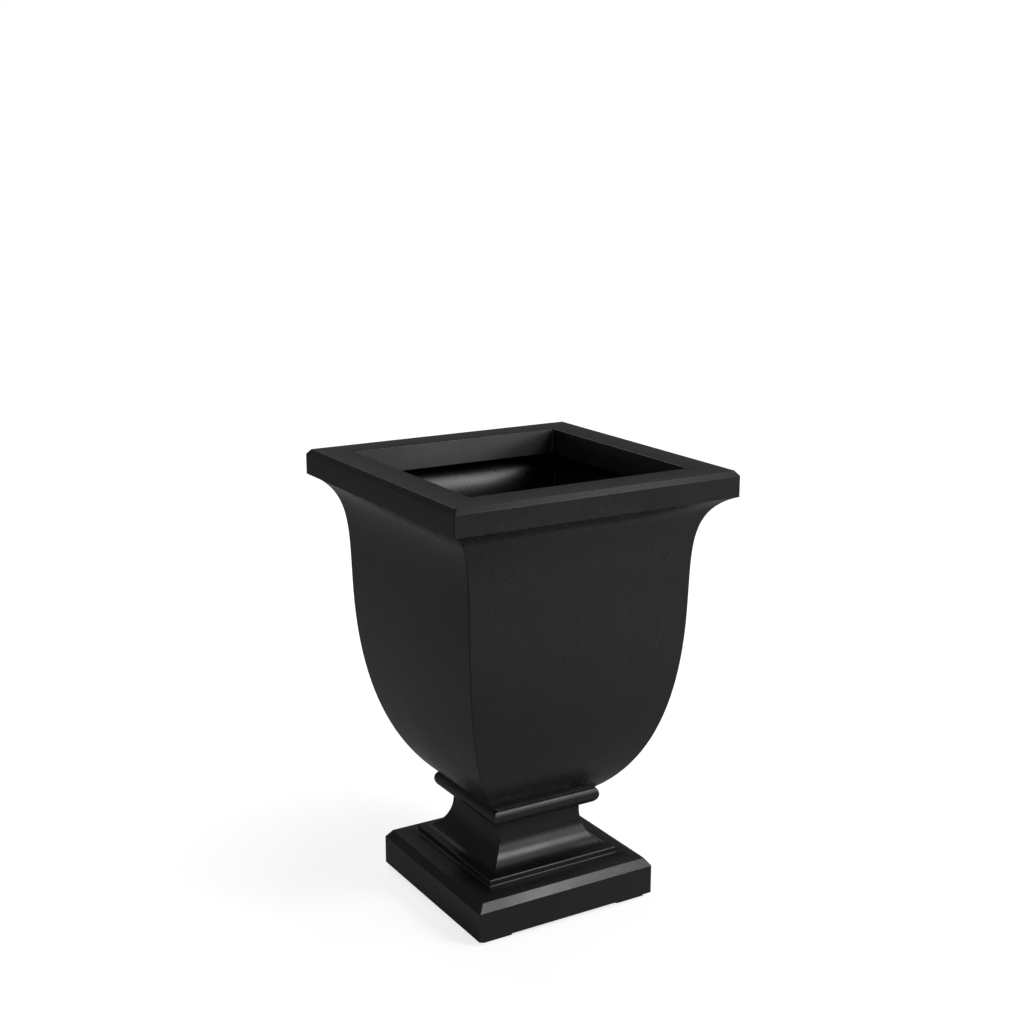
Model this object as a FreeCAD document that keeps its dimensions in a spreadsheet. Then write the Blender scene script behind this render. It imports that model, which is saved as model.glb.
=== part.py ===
"""Square urn planter for the floor: a one-piece moulded bowl bolted to a hollow moulded pedestal.

+Z is up, the front faces -Y, and the origin is on the floor under the middle of the planter.
The outer forms are square in plan, so each one is the common part of the same side view pushed
through from the front and from the side. All sizes are millimetres and degrees.
"""
import FreeCAD, Part
import math
import os
import re

import Sketcher
from FreeCAD import Placement, Rotation, Vector

# ---------------------------------------------------------------------------------------------
# Driving sizes
# ---------------------------------------------------------------------------------------------
SIZES = (
    # Bowl: the rim
    ("rim_width", 500.0, "outside width of the rim band"),
    ("rim_depth", 41.0, "rim top down to the underside of the band"),
    ("rim_bevel_in", 6.5, "top bevel of the rim, measured inwards"),
    ("rim_bevel_down", 7.9, "top bevel of the rim, measured down"),
    ("mouth_width", 384.0, "opening inside the rim, at its top"),
    ("lip_depth", 41.0, "rim top down to the lower edge of the turned-in lip"),
    ("lip_lean", 11.0, "lean of the lip from upright, inwards on its way down"),
    # Bowl: the body
    ("bowl_tall", 539.3, "foot of the bowl to the rim top"),
    ("bowl_wall", 5.0, "wall of the bowl"),
    ("bowl_corner", 2.5, "radius of the bowl's four corners"),
    ("bowl_floor", 6.0, "floor of the bowl"),
    ("foot_width", 193.0, "width of the bowl where it stands on the pedestal"),
    ("foot_flare", 51.2, "lean of the wall at the foot, from upright"),
    ("foot_reach", 84.4, "how far the wall holds that lean before it turns up"),
    ("waist_width", 392.6, "width where the cove meets the belly"),
    ("waist_rise", 304.1, "height of that line above the foot"),
    ("waist_lean", 2.3, "lean of the wall at that line, from upright"),
    ("belly_reach", 138.8, "how far the belly holds that lean, going down"),
    ("cove_reach", 107.5, "how far the cove holds that lean, going up"),
    ("cove_set_in", 0.5, "cove top inside the face of the rim band"),
    ("cove_tilt", 21.8, "slope of the cove where it meets the rim, from level"),
    ("cove_spread", 60.1, "how far the cove holds that slope"),
    # Pedestal: outside
    ("plinth_width", 326.0, "width of the plinth"),
    ("plinth_side", 47.6, "upright side of the plinth"),
    ("plinth_bevel_in", 9.5, "bevel above that side, measured inwards"),
    ("plinth_bevel_down", 12.7, "bevel above that side, measured down"),
    ("plinth_fall", 5.1, "fall of the sloping plinth top, which sheds water"),
    ("step_width", 242.0, "width of the step on the plinth"),
    ("step_tall", 10.6, "upright face of the step"),
    ("step_ledge", 2.0, "ledge of the step outside the foot of the hollow curve"),
    ("scotia_tall", 61.0, "height of that curve"),
    ("scotia_tilt", 8.5, "slope of its foot, from level"),
    ("neck_width", 153.0, "width of the neck at its narrowest"),
    ("neck_tall", 15.0, "straight part of the neck"),
    ("bead_width", 201.0, "width over the rounded bead under the bowl"),
    ("bead_radius", 12.8, "radius of the bead"),
    # Pedestal: inside
    ("pedestal_wall", 5.0, "wall of the pedestal"),
    ("pedestal_corner", 2.0, "radius of the pedestal's four outer corners"),
    ("deck", 6.0, "deck that carries the bowl"),
    ("base_flange", 6.0, "flange turned in around the open underside"),
    ("underside_width", 180.0, "square opening in the underside"),
    # Gasket between bowl and pedestal
    ("gasket", 2.0, "thickness of the sealing sheet"),
    ("gasket_width", 160.0, "width of the sealing sheet"),
    ("gasket_recess", 1.5, "depth of its recess in the deck"),
    ("gasket_gap", 0.5, "gap around the sheet in its recess"),
    # Four hexagon bolts through the bowl floor and the deck
    ("bolt_circle", 100.0, "diameter of the circle the bolts stand on"),
    ("shank_diameter", 8.0, "bolt shank"),
    ("shank_long", 30.0, "bolt shank under the head"),
    ("head_flats", 13.0, "across the flats of bolt head and nut"),
    ("head_tall", 5.3, "bolt head"),
    ("nut_tall", 6.5, "nut"),
    ("nut_collar", 1.6, "locking collar on the nut"),
    ("hole_gap", 0.5, "gap around a shank in its holes"),
    ("thread_gap", 0.05, "gap around a shank in its nut"),
    ("washer_diameter", 16.0, "steel washer under the head"),
    ("washer_thick", 1.6, "its thickness"),
    ("seal_diameter", 20.0, "rubber washer on the bowl floor"),
    ("seal_thick", 2.0, "its thickness"),
    ("spreader_diameter", 24.0, "wide washer under the deck"),
    ("spreader_thick", 2.0, "its thickness"),
    # Drain bung
    ("drain_diameter", 25.0, "drain hole through floor, gasket and deck"),
    ("bung_gap", 0.3, "gap around the bung in the hole"),
    ("bung_taper", 1.2, "how much the bung narrows, on the radius"),
    ("bung_long", 22.0, "body of the bung below its flange"),
    ("bung_flange", 40.0, "diameter of the flange on the floor"),
    ("bung_flange_thick", 4.0, "its thickness"),
    ("pull_diameter", 12.0, "stem of the pull"),
    ("pull_tall", 14.0, "height of the pull above the flange"),
    ("pull_head", 18.0, "diameter of the button on top of the pull"),
    # Soil shelf, a false floor that keeps the soil above the water
    ("shelf_gap", 4.0, "gap between the shelf and the wall of the bowl"),
    ("shelf_thick", 4.0, "thickness of the shelf"),
    ("shelf_edge_tall", 10.0, "edge turned down around the shelf"),
    ("shelf_edge", 3.0, "wall of that edge"),
    ("shelf_corner", 18.0, "radius of the shelf corners"),
    ("water_depth", 80.0, "bowl floor to the underside of the shelf"),
    ("leg_spacing", 124.0, "between the centres of two legs"),
    ("leg_diameter", 30.0, "outside of a leg, which is a tube"),
    ("leg_wall", 3.0, "wall of a leg"),
    ("seat_gap", 0.2, "shelf legs and bung flange stand this far off the floor"),
    ("weep_diameter", 9.0, "holes that drain the soil"),
    ("weep_spacing", 31.0, "between the centres of two such holes"),
    ("grip_long", 60.0, "finger slot for lifting the shelf"),
    ("grip_wide", 22.0, "width of a finger slot"),
    ("grip_inset", 35.0, "edge of the shelf to the middle of a finger slot"),
    # Foot pads
    ("pad_tall", 7.0, "pad under each corner of the plinth"),
    ("pad_width", 58.0, "side of a square pad"),
    ("pad_inset", 8.0, "pad inside the faces of the plinth"),
    ("pad_corner", 4.0, "radius of the pad corners"),
    ("stud_diameter", 8.0, "stud that holds a pad to the flange"),
    ("stud_gap", 0.3, "gap around the stud in its hole"),
    ("barb_diameter", 10.0, "barb above the flange"),
    ("barb_tall", 4.0, "its height"),
)
SPARE = 10.0     # how far a cutting or crossing shape runs past what it crosses

# Heights above the floor, from the pads up
PLINTH_FOOT = "pad_tall"
PLINTH_BEVEL = PLINTH_FOOT + " + plinth_side"
PLINTH_EDGE = PLINTH_BEVEL + " + plinth_bevel_down"
STEP_FOOT = PLINTH_EDGE + " + plinth_fall"
STEP_TOP = STEP_FOOT + " + step_tall"
SCOTIA_TOP = STEP_TOP + " + scotia_tall"
BEAD_FOOT = SCOTIA_TOP + " + neck_tall"
BEAD_TOP = BEAD_FOOT + " + 2 * bead_radius"
GASKET_FOOT = BEAD_TOP + " - gasket_recess"
DECK_UNDER = GASKET_FOOT + " - deck"
BOWL_FOOT = GASKET_FOOT + " + gasket"
FLOOR_TOP = BOWL_FOOT + " + bowl_floor"
RIM_TOP = BOWL_FOOT + " + bowl_tall"
RIM_UNDER = RIM_TOP + " - rim_depth"
SEAL_TOP = FLOOR_TOP + " + seal_thick"
HEAD_UNDER = SEAL_TOP + " + washer_thick"
SPREADER_UNDER = DECK_UNDER + " - spreader_thick"
STANDING = FLOOR_TOP + " + seat_gap"
SHELF_UNDER = FLOOR_TOP + " + water_depth"
SHELF_EDGE = SHELF_UNDER + " + shelf_thick - shelf_edge_tall"

# Ends of the bowl's belly, outside, as half widths and heights
FOOT = ("foot_width / 2", BOWL_FOOT)
WAIST = ("waist_width / 2", BOWL_FOOT + " + waist_rise")

FRONT_VIEW = Rotation(Vector(1, 0, 0), 90)       # sketch x, y become X, Z
SIDE_VIEW = Rotation(Vector(1, 1, 1), 120)       # sketch x, y become Y, Z
CORNERS = (("front_left", -1, -1), ("front_right", 1, -1), ("rear_right", 1, 1), ("rear_left", -1, 1))
QUARTER_ELLIPSE = 4 / 3 * (math.sqrt(2) - 1)     # handle of a cubic that draws a quarter ellipse

doc = FreeCAD.newDocument("urn_planter")


# ---------------------------------------------------------------------------------------------
# The sheet, and helpers that tie shapes to it
# ---------------------------------------------------------------------------------------------
def make_sheet():
    sheet = doc.addObject("Spreadsheet::Sheet", "sizes")
    for row, (name, size, meaning) in enumerate(SIZES, start=1):
        sheet.set(f"A{row}", name)
        sheet.set(f"B{row}", str(size))
        sheet.set(f"C{row}", meaning)
        sheet.setAlias(f"B{row}", name)
    doc.recompute()
    return sheet


sheet = make_sheet()
NAMES = {name for name, size, meaning in SIZES}


def tied(text):
    """Write a formula in size names as the document spells it."""
    return re.sub(r"[a-z_]+", lambda word: "sizes." + word[0] if word[0] in NAMES else word[0], text)


def value(text):
    return float(sheet.evalExpression(tied(text)))


def bind(thing, **formulas):
    """Bind properties to formulas; place_x, place_y and place_z set where the thing stands."""
    for key, text in formulas.items():
        key = key.replace("place_", "Placement.Base.")
        thing.setExpression(key, tied(str(text)))
    return thing


def block(name, wide, deep, tall, x="0", y="0", z="0"):
    """A box centred on x, y that stands on z."""
    shape = doc.addObject("Part::Box", name)
    return bind(
        shape,
        Length=wide,
        Width=deep,
        Height=tall,
        place_x=f"{x} - ({wide}) / 2",
        place_y=f"{y} - ({deep}) / 2",
        place_z=z,
    )


def rod(name, diameter, tall, x="0", y="0", z="0"):
    """A cylinder that stands on z."""
    shape = doc.addObject("Part::Cylinder", name)
    return bind(shape, Radius=f"({diameter}) / 2", Height=tall, place_x=x, place_y=y, place_z=z)


def taper(name, low_diameter, high_diameter, tall, x="0", y="0", z="0"):
    shape = doc.addObject("Part::Cone", name)
    low, high = f"({low_diameter}) / 2", f"({high_diameter}) / 2"
    return bind(shape, Radius1=low, Radius2=high, Height=tall, place_x=x, place_y=y, place_z=z)


def hexagon(name, flats, tall, x="0", y="0", z="0"):
    shape = doc.addObject("Part::Prism", name)
    shape.Polygon = 6
    across = f"({flats}) / sqrt(3)"
    return bind(shape, Circumradius=across, Height=tall, place_x=x, place_y=y, place_z=z)


def cut(name, base, tool):
    shape = doc.addObject("Part::Cut", name)
    shape.Base, shape.Tool = base, tool
    return shape


def joined(name, *pieces):
    shape = doc.addObject("Part::MultiFuse", name)
    shape.Shapes = list(pieces)
    return shape


def group(name, pieces):
    """Identical fasteners in one node, each still a solid of its own."""
    shape = doc.addObject("Part::Compound", name)
    shape.Links = list(pieces)
    return shape


def rounded(name, base, radius, chosen):
    """Round the edges of a base that a test picks out."""
    doc.recompute()
    size = value(radius)
    shape = doc.addObject("Part::Fillet", name)
    shape.Base = base
    numbered = enumerate(base.Shape.Edges, start=1)
    shape.Edges = [(number, size, size) for number, edge in numbered if chosen(edge)]
    return shape


def upright(edge):
    return math.isclose(edge.Length, edge.BoundBox.ZLength, abs_tol=1e-6)


def on_corner(edge):
    """An edge that runs up one of the four corners of a square form, and isn't nearly level."""
    on_diagonal = all(math.isclose(abs(end.X), abs(end.Y), abs_tol=1e-6) for end in edge.Vertexes)
    return on_diagonal and edge.BoundBox.ZLength > edge.Length / 4


def tube(name, outer, inner, tall, x="0", y="0", z="0"):
    """A round washer, ring or hollow leg."""
    bore = rod(name + "_bore", inner, f"{tall} + 2 * {SPARE}", x, y, f"{z} - {SPARE}")
    return cut(name, rod(name + "_body", outer, tall, x, y, z), bore)


# ---------------------------------------------------------------------------------------------
# Side views: outlines of lines, curves and arcs, with every point tied to the sheet
# ---------------------------------------------------------------------------------------------
def mirrored(point):
    return f"-({point[0]})", point[1]


def whole_outline(right_side):
    """Close the right-hand side of a symmetric outline with its mirror image."""
    kinds = {"line": (1, 0), "curve": (3, 2, 1, 0), "arc": (2, 1, 0)}
    left_side = []
    for kind, *points in reversed(right_side):
        backwards = [mirrored(points[index]) for index in kinds[kind]]
        left_side.append((kind, *backwards))
    low, high = right_side[0][1], right_side[-1][-1]
    base = ("line", mirrored(low), low)
    top = ("line", high, mirrored(high))
    return [base, *right_side, top, *left_side]


def drawn(kind, points):
    if kind == "line":
        return Part.LineSegment(*points)
    if kind == "curve":
        curve = Part.BSplineCurve()
        curve.buildFromPolesMultsKnots(points, [4, 4], [0, 1], False, 3)
        return curve
    start, centre, end = points
    circle = Part.Circle(centre, Vector(0, 0, 1), (start - centre).Length)
    return Part.ArcOfCircle(circle, circle.parameter(start), circle.parameter(end))


def outline_sketch(name, view, outline):
    sketch = doc.addObject("Sketcher::SketchObject", name)
    sketch.Placement = Placement(Vector(), view)

    def pin(shape, spot, point, tag, axes="XY"):
        for axis in axes:
            text = point["XY".index(axis)]
            rule = Sketcher.Constraint("Distance" + axis, -1, 1, shape, spot, value(text))
            number = sketch.addConstraint(rule)
            sketch.renameConstraint(number, tag + axis)
            sketch.setExpression("Constraints." + tag + axis, tied(text))

    start_spot, end_spot, centre_spot = 1, 2, 3
    shapes = []
    for number, (kind, *points) in enumerate(outline):
        tag = f"{kind}_{number}"
        spots = [Vector(value(x), value(y), 0) for x, y in points]
        shape = sketch.addGeometry(drawn(kind, spots), False)
        shapes.append(shape)
        pin(shape, start_spot, points[0], tag)
        if kind == "curve":
            sketch.exposeInternalGeometry(shape)
            first_pole = shape + 1
            pin(first_pole + 1, centre_spot, points[1], tag + "_leaving")
            pin(first_pole + 2, centre_spot, points[2], tag + "_arriving")
        if kind == "arc":
            pin(shape, centre_spot, points[1], tag + "_centre", axes="X")
    for shape, following in zip(shapes, shapes[1:] + shapes[:1]):
        sketch.addConstraint(Sketcher.Constraint("Coincident", shape, end_spot, following, start_spot))
    return sketch


def square_form(name, right_side, width, corner=None):
    """A form that is square in plan and has the same outline from the front and from the side."""
    pushed = []
    for side, view in (("front", FRONT_VIEW), ("side", SIDE_VIEW)):
        outline = outline_sketch(f"{name}_{side}_outline", view, whole_outline(right_side))
        slab = doc.addObject("Part::Extrusion", f"{name}_{side}_slab")
        slab.Base = outline
        slab.DirMode = "Normal"
        slab.Solid = True
        slab.Symmetric = True
        bind(slab, LengthFwd=f"{width} + 2 * {SPARE}")
        pushed.append(slab)
    form = doc.addObject("Part::MultiCommon", name)
    form.Shapes = pushed
    return rounded(name + "_rounded", form, corner, on_corner) if corner else form


# ---------------------------------------------------------------------------------------------
# Bolt places, shared by the bowl, the gasket, the deck and the fasteners
# ---------------------------------------------------------------------------------------------
BOLT_PLACES = [
    (f"bolt_circle / 2 * cos({turn})", f"bolt_circle / 2 * sin({turn})")
    for turn in (0, 90, 180, 270)
]


def floor_holes(name, low, high):
    """The four bolt holes and the drain hole, as one tool."""
    tall = f"({high}) - ({low})"
    bolt_hole = "shank_diameter + 2 * hole_gap"
    holes = [rod(f"{name}_bolt_{n}", bolt_hole, tall, x, y, low) for n, (x, y) in enumerate(BOLT_PLACES)]
    holes.append(rod(f"{name}_drain", "drain_diameter", tall, "0", "0", low))
    return joined(name, *holes)


# ---------------------------------------------------------------------------------------------
# Bowl
# ---------------------------------------------------------------------------------------------
def along(point, reach, lean):
    """The point that far up a line through this one that leans outwards from upright."""
    x, z = point
    return f"{x} + {reach} * sin({lean})", f"{z} + {reach} * cos({lean})"


def behind(point, wall, lean):
    """The point on the inner face of a wall that leans like that."""
    x, z = point
    return f"{x} - {wall} * cos({lean})", f"{z} + {wall} * sin({lean})"


def inner_belly():
    """The inside of the wall from the floor to the waist, one wall behind the outside."""
    climb = "((bowl_floor - bowl_wall * sin(foot_flare)) / cos(foot_flare))"
    in_foot = (along(behind(FOOT, "bowl_wall", "foot_flare"), climb, "foot_flare")[0], FLOOR_TOP)
    in_waist = behind(WAIST, "bowl_wall", "waist_lean")
    return (
        in_foot,
        along(in_foot, f"(foot_reach - {climb})", "foot_flare"),
        along(in_waist, "(-belly_reach)", "waist_lean"),
        in_waist,
    )


def inside_at(height):
    """Half the width of the bowl's inside at a height below the waist."""
    wall = drawn("curve", [Vector(value(x), value(z), 0) for x, z in inner_belly()])
    low, high = wall.FirstParameter, wall.LastParameter
    while high - low > 1e-9:
        middle = (low + high) / 2
        if wall.value(middle).y < value(height):
            low = middle
        else:
            high = middle
    return wall.value(low).x


def make_bowl():
    half_rim = "rim_width / 2"
    bevel = RIM_TOP + " - rim_bevel_down"
    from_upright = "90 - cove_tilt"
    foot, waist = FOOT, WAIST
    cove_top = (half_rim + " - cove_set_in", RIM_UNDER)
    belly = (
        foot,
        along(foot, "foot_reach", "foot_flare"),
        along(waist, "(-belly_reach)", "waist_lean"),
        waist,
    )
    cove = (
        waist,
        along(waist, "cove_reach", "waist_lean"),
        along(cove_top, "(-cove_spread)", from_upright),
        cove_top,
    )
    outside = square_form(
        "bowl_outside",
        [
            ("curve", *belly),
            ("curve", *cove),
            ("line", cove_top, (half_rim, RIM_UNDER)),
            ("line", (half_rim, RIM_UNDER), (half_rim, bevel)),
            ("line", (half_rim, bevel), (half_rim + " - rim_bevel_in", RIM_TOP)),
        ],
        "rim_width",
        "bowl_corner",
    )

    # The inside keeps one wall's thickness behind each of those lines and curves. It starts a
    # little higher, on the floor, and ends a little sooner, behind the rim band.
    set_back = "((bowl_wall - cove_set_in) / cos(cove_tilt))"
    half_inside = half_rim + " - bowl_wall"
    in_bevel = RIM_TOP + " - bowl_wall - rim_bevel_down"
    in_belly = inner_belly()
    in_waist = in_belly[-1]
    over_cove = RIM_UNDER + f" + bowl_wall / cos(cove_tilt) - {set_back} * sin(cove_tilt)"
    in_cove_top = (half_inside, over_cove)
    in_cove = (
        in_waist,
        along(in_waist, "cove_reach", "waist_lean"),
        along(in_cove_top, f"({set_back} - cove_spread)", from_upright),
        in_cove_top,
    )
    inside = square_form(
        "bowl_inside",
        [
            ("curve", *in_belly),
            ("curve", *in_cove),
            ("line", in_cove_top, (half_inside, in_bevel)),
            ("line", (half_inside, in_bevel), (half_inside + " - rim_bevel_in", RIM_TOP + " - bowl_wall")),
        ],
        "rim_width",
    )
    shell = cut("bowl_shell", outside, inside)

    # The rim turns in over the mouth and down again as a lip that leans inwards.
    mouth_edge = ("mouth_width / 2", RIM_TOP)
    lip_edge = ("mouth_width / 2 + bowl_wall / cos(lip_lean)", RIM_TOP)
    lip_reach, spare_reach = "lip_depth / cos(lip_lean)", f"{SPARE} / cos(lip_lean)"
    lip_foot = along(lip_edge, f"(-{lip_reach})", "lip_lean")
    lip = square_form("bowl_lip", [("line", lip_foot, lip_edge)], "rim_width")
    mouth_foot = along(mouth_edge, f"(-{lip_reach} - {spare_reach})", "lip_lean")
    mouth_top = along(mouth_edge, spare_reach, "lip_lean")
    mouth = square_form("bowl_mouth", [("line", mouth_foot, mouth_top)], "rim_width")
    open_shell = cut("bowl_open", joined("bowl_with_lip", shell, lip), mouth)
    holes = floor_holes("bowl_floor_holes", f"{BOWL_FOOT} - {SPARE}", f"{FLOOR_TOP} + {SPARE}")
    return cut("bowl", open_shell, holes)


# ---------------------------------------------------------------------------------------------
# Pedestal
# ---------------------------------------------------------------------------------------------
def make_pedestal():
    half_plinth, half_step = "plinth_width / 2", "step_width / 2"
    half_scotia, half_neck = "(step_width / 2 - step_ledge)", "neck_width / 2"
    bead_middle = "bead_width / 2 - bead_radius"
    rise = f"{QUARTER_ELLIPSE} * scotia_tall"
    run = f"{QUARTER_ELLIPSE} * ({half_scotia} - {half_neck})"
    plinth_edge = (half_plinth + " - plinth_bevel_in", PLINTH_EDGE)
    scotia_foot = (half_scotia, STEP_TOP)
    scotia_foot_handle = (f"{half_scotia} - {run}", f"{STEP_TOP} + {run} * tan(scotia_tilt)")
    scotia_top, scotia_top_handle = (half_neck, SCOTIA_TOP), (half_neck, f"{SCOTIA_TOP} - {rise}")
    bead_centre = BEAD_FOOT + " + bead_radius"
    # The plinth's sloping top and the column run on into each other, so that they join cleanly.
    slope = f"plinth_fall / ({plinth_edge[0]} - {half_step})"
    plinth_peak = (f"{half_step} - {SPARE}", f"{STEP_FOOT} + {SPARE} * {slope}")
    plinth = square_form(
        "plinth_outside",
        [
            ("line", (half_plinth, PLINTH_FOOT), (half_plinth, PLINTH_BEVEL)),
            ("line", (half_plinth, PLINTH_BEVEL), plinth_edge),
            ("line", plinth_edge, plinth_peak),
        ],
        "plinth_width",
        "pedestal_corner",
    )
    column = square_form(
        "column_outside",
        [
            ("line", (half_step, PLINTH_BEVEL), (half_step, STEP_TOP)),
            ("line", (half_step, STEP_TOP), scotia_foot),
            ("curve", scotia_foot, scotia_foot_handle, scotia_top_handle, scotia_top),
            ("line", scotia_top, (half_neck, BEAD_FOOT)),
            ("line", (half_neck, BEAD_FOOT), (bead_middle, BEAD_FOOT)),
            ("arc", (bead_middle, BEAD_FOOT), (bead_middle, bead_centre), (bead_middle, BEAD_TOP)),
        ],
        "step_width",
        "pedestal_corner",
    )

    in_plinth, in_step = half_plinth + " - pedestal_wall", half_step + " - pedestal_wall"
    in_neck = half_neck + " - pedestal_wall"
    in_low, in_bevel = PLINTH_FOOT + " + base_flange", PLINTH_BEVEL + " - pedestal_wall"
    in_edge = (in_plinth + " - plinth_bevel_in", PLINTH_EDGE + " - pedestal_wall")
    in_step_foot, in_step_top = STEP_FOOT + " - pedestal_wall", STEP_TOP + " - pedestal_wall"
    in_run = f"{QUARTER_ELLIPSE} * ({in_step} - ({in_neck}))"
    in_rise = f"{QUARTER_ELLIPSE} * (scotia_tall + pedestal_wall)"
    inside = square_form(
        "pedestal_inside",
        [
            ("line", (in_plinth, in_low), (in_plinth, in_bevel)),
            ("line", (in_plinth, in_bevel), in_edge),
            ("line", in_edge, (in_step, in_step_foot)),
            ("line", (in_step, in_step_foot), (in_step, in_step_top)),
            (
                "curve",
                (in_step, in_step_top),
                (f"{in_step} - {in_run}", f"{in_step_top} + {in_run} * tan(scotia_tilt)"),
                (in_neck, f"{SCOTIA_TOP} - {in_rise}"),
                (in_neck, SCOTIA_TOP),
            ),
            ("line", (in_neck, SCOTIA_TOP), (in_neck, DECK_UNDER)),
        ],
        "plinth_width",
    )
    shell = cut("pedestal_shell", joined("pedestal_outside", plinth, column), inside)

    flange_low, flange_tall = f"{PLINTH_FOOT} - {SPARE}", f"base_flange + 2 * {SPARE}"
    under = block("underside_opening", "underside_width", "underside_width", flange_tall, z=flange_low)
    recess_width = "gasket_width + 2 * gasket_gap"
    recess_tall = f"gasket_recess + {SPARE}"
    recess = block("gasket_recess_cut", recess_width, recess_width, recess_tall, z=GASKET_FOOT)
    holes = floor_holes("deck_holes", f"{DECK_UNDER} - {SPARE}", f"{BEAD_TOP} + {SPARE}")
    stud_hole = "stud_diameter + 2 * stud_gap"
    stud_holes = [
        rod(f"stud_hole_{corner}", stud_hole, flange_tall, *pad_middle(right, back), flange_low)
        for corner, right, back in CORNERS
    ]
    return cut("pedestal", shell, joined("pedestal_cuts", under, recess, holes, *stud_holes))


# ---------------------------------------------------------------------------------------------
# Foot pads
# ---------------------------------------------------------------------------------------------
def pad_middle(right, back):
    """Centre of the pad on one corner, from the side of the plinth that it is on."""
    distance = "(plinth_width / 2 - pad_inset - pad_width / 2)"
    return f"{right} * {distance}", f"{back} * {distance}"


def make_foot_pad(corner, right, back):
    name = f"foot_pad_{corner}"
    x, y = pad_middle(right, back)
    slab = block(name + "_slab", "pad_width", "pad_width", "pad_tall", x, y, "0")
    pad = rounded(name + "_rounded", slab, "pad_corner", upright)
    stud = rod(name + "_stud", "stud_diameter", "base_flange + barb_tall", x, y, PLINTH_FOOT)
    flange_top = PLINTH_FOOT + " + base_flange"
    barb = taper(name + "_barb", "barb_diameter", "stud_diameter", "barb_tall", x, y, flange_top)
    return joined(name, pad, stud, barb)


# ---------------------------------------------------------------------------------------------
# Gasket and fasteners
# ---------------------------------------------------------------------------------------------
def make_gasket():
    sheet_body = block("joint_gasket_sheet", "gasket_width", "gasket_width", "gasket", z=GASKET_FOOT)
    holes = floor_holes("joint_gasket_holes", f"{GASKET_FOOT} - {SPARE}", f"{BOWL_FOOT} + {SPARE}")
    return cut("joint_gasket", sheet_body, holes)


def make_bolts():
    bolts = []
    for n, (x, y) in enumerate(BOLT_PLACES):
        head = hexagon(f"bolt_head_{n}", "head_flats", "head_tall", x, y, HEAD_UNDER)
        shank = rod(f"bolt_shank_{n}", "shank_diameter", "shank_long", x, y, f"{HEAD_UNDER} - shank_long")
        bolts.append(joined(f"bolt_{n}", head, shank))
    return group("pedestal_bolts", bolts)


def make_washers(name, outer, thick, low):
    bore = "shank_diameter + 2 * hole_gap"
    washers = [tube(f"{name}_{n}", outer, bore, thick, x, y, low) for n, (x, y) in enumerate(BOLT_PLACES)]
    return group(name, washers)


def make_nuts():
    low = SPREADER_UNDER + " - nut_tall"
    nuts = []
    for n, (x, y) in enumerate(BOLT_PLACES):
        body = hexagon(f"nut_body_{n}", "head_flats", "nut_tall", x, y, low)
        collar_low = low + " - nut_collar"
        collar = rod(f"nut_collar_{n}", "head_flats - 2 * nut_collar", "nut_collar", x, y, collar_low)
        bore_tall = f"nut_tall + nut_collar + 2 * {SPARE}"
        bore_low = f"{collar_low} - {SPARE}"
        bore = rod(f"nut_bore_{n}", "shank_diameter + 2 * thread_gap", bore_tall, x, y, bore_low)
        nuts.append(cut(f"nut_{n}", joined(f"nut_blank_{n}", body, collar), bore))
    return group("lock_nuts", nuts)


# ---------------------------------------------------------------------------------------------
# Drain bung
# ---------------------------------------------------------------------------------------------
def make_bung():
    flange = rod("bung_flange_disc", "bung_flange", "bung_flange_thick", z=STANDING)
    wide = "drain_diameter - 2 * bung_gap"
    narrow = wide + " - 2 * bung_taper"
    body = taper("bung_body", narrow, wide, "bung_long", z=STANDING + " - bung_long")
    pull_low = STANDING + " + bung_flange_thick"
    stem = rod("bung_stem", "pull_diameter", "pull_tall", z=pull_low)
    button_tall = "pull_tall / 3"
    button = rod("bung_button", "pull_head", button_tall, z=f"{pull_low} + pull_tall - {button_tall}")
    return joined("drain_bung", flange, body, stem, button)


# ---------------------------------------------------------------------------------------------
# Soil shelf
# ---------------------------------------------------------------------------------------------
def leg_places():
    return [(f"{right} * leg_spacing / 2", f"{back} * leg_spacing / 2") for corner, right, back in CORNERS]


def weep_places(half_shelf):
    """A square grid of holes that leaves out those near an edge, a leg or a finger slot."""
    pitch, hole = value("weep_spacing"), value("weep_diameter")
    web = value("shelf_thick")
    edge = value(f"{half_shelf} - shelf_edge") - web - hole / 2
    half = int(edge // pitch)
    leg_reach = value("leg_diameter / 2") + web + hole / 2
    legs = [(value(x), value(y)) for x, y in leg_places()]
    grip = value(f"{half_shelf} - grip_inset")
    grip_x, grip_y = value("grip_wide / 2") + web + hole / 2, value("grip_long / 2") + web + hole / 2
    places = []
    for column in range(-half, half + 1):
        for row in range(-half, half + 1):
            x, y = column * pitch, row * pitch
            near_edge = max(abs(x), abs(y)) > edge
            near_leg = any(math.hypot(x - leg_x, y - leg_y) < leg_reach for leg_x, leg_y in legs)
            near_grip = abs(abs(x) - grip) < grip_x and abs(y) < grip_y
            if not (near_edge or near_leg or near_grip):
                places.append((f"{column} * weep_spacing", f"{row} * weep_spacing"))
    return places


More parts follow.
